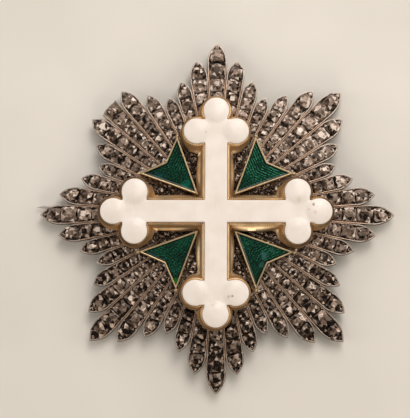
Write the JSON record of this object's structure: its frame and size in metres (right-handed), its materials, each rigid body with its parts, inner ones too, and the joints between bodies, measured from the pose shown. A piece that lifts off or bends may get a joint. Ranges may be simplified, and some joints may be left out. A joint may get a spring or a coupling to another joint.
{
  "type": "jewelled breast star of an order",
  "caption": "Domed silver star of rays set with rose-cut stones, under a white trefoil cross on a green saltire, with a hinged pin behind.",
  "frame": {"origin": "on the surface that the star lies on, under its centre", "axes": "+Z out of the face, +Y towards the top ray, +X towards the right of the face, as a viewer sees it"},
  "size_m": [0.0849, 0.084, 0.0101],
  "materials": {
    "tarnished_silver": "silver, polished on the rims and darkened by tarnish in the recesses",
    "rose_cut_stone": "clear grey rose-cut stones over a dark backing",
    "old_gold": "warm gold, satin, darker in the corners",
    "white_enamel": "glossy opaque white enamel",
    "green_enamel": "glossy clear green enamel over engraved gold",
    "pin_steel": "bare drawn wire"
  },
  "bodies": {
    "star": {"ray_star": "tarnished_silver", "stones_upright": "rose_cut_stone", "stones_diagonal": "rose_cut_stone", "gold_cross": "old_gold", "white_enamel": "white_enamel", "green_enamel_ne": "green_enamel", "green_enamel_nw": "green_enamel", "green_enamel_sw": "green_enamel", "green_enamel_se": "green_enamel"},
    "pin": {"pin": "pin_steel"}
  },
  "joints": [
    {"name": "pin_hinge", "type": "hinge", "parent": "star", "child": "pin", "pos_m": [0.03, 0.002, 0.00095], "axis": [0, -1, 0], "range_deg": [0, 75]}
  ]
}
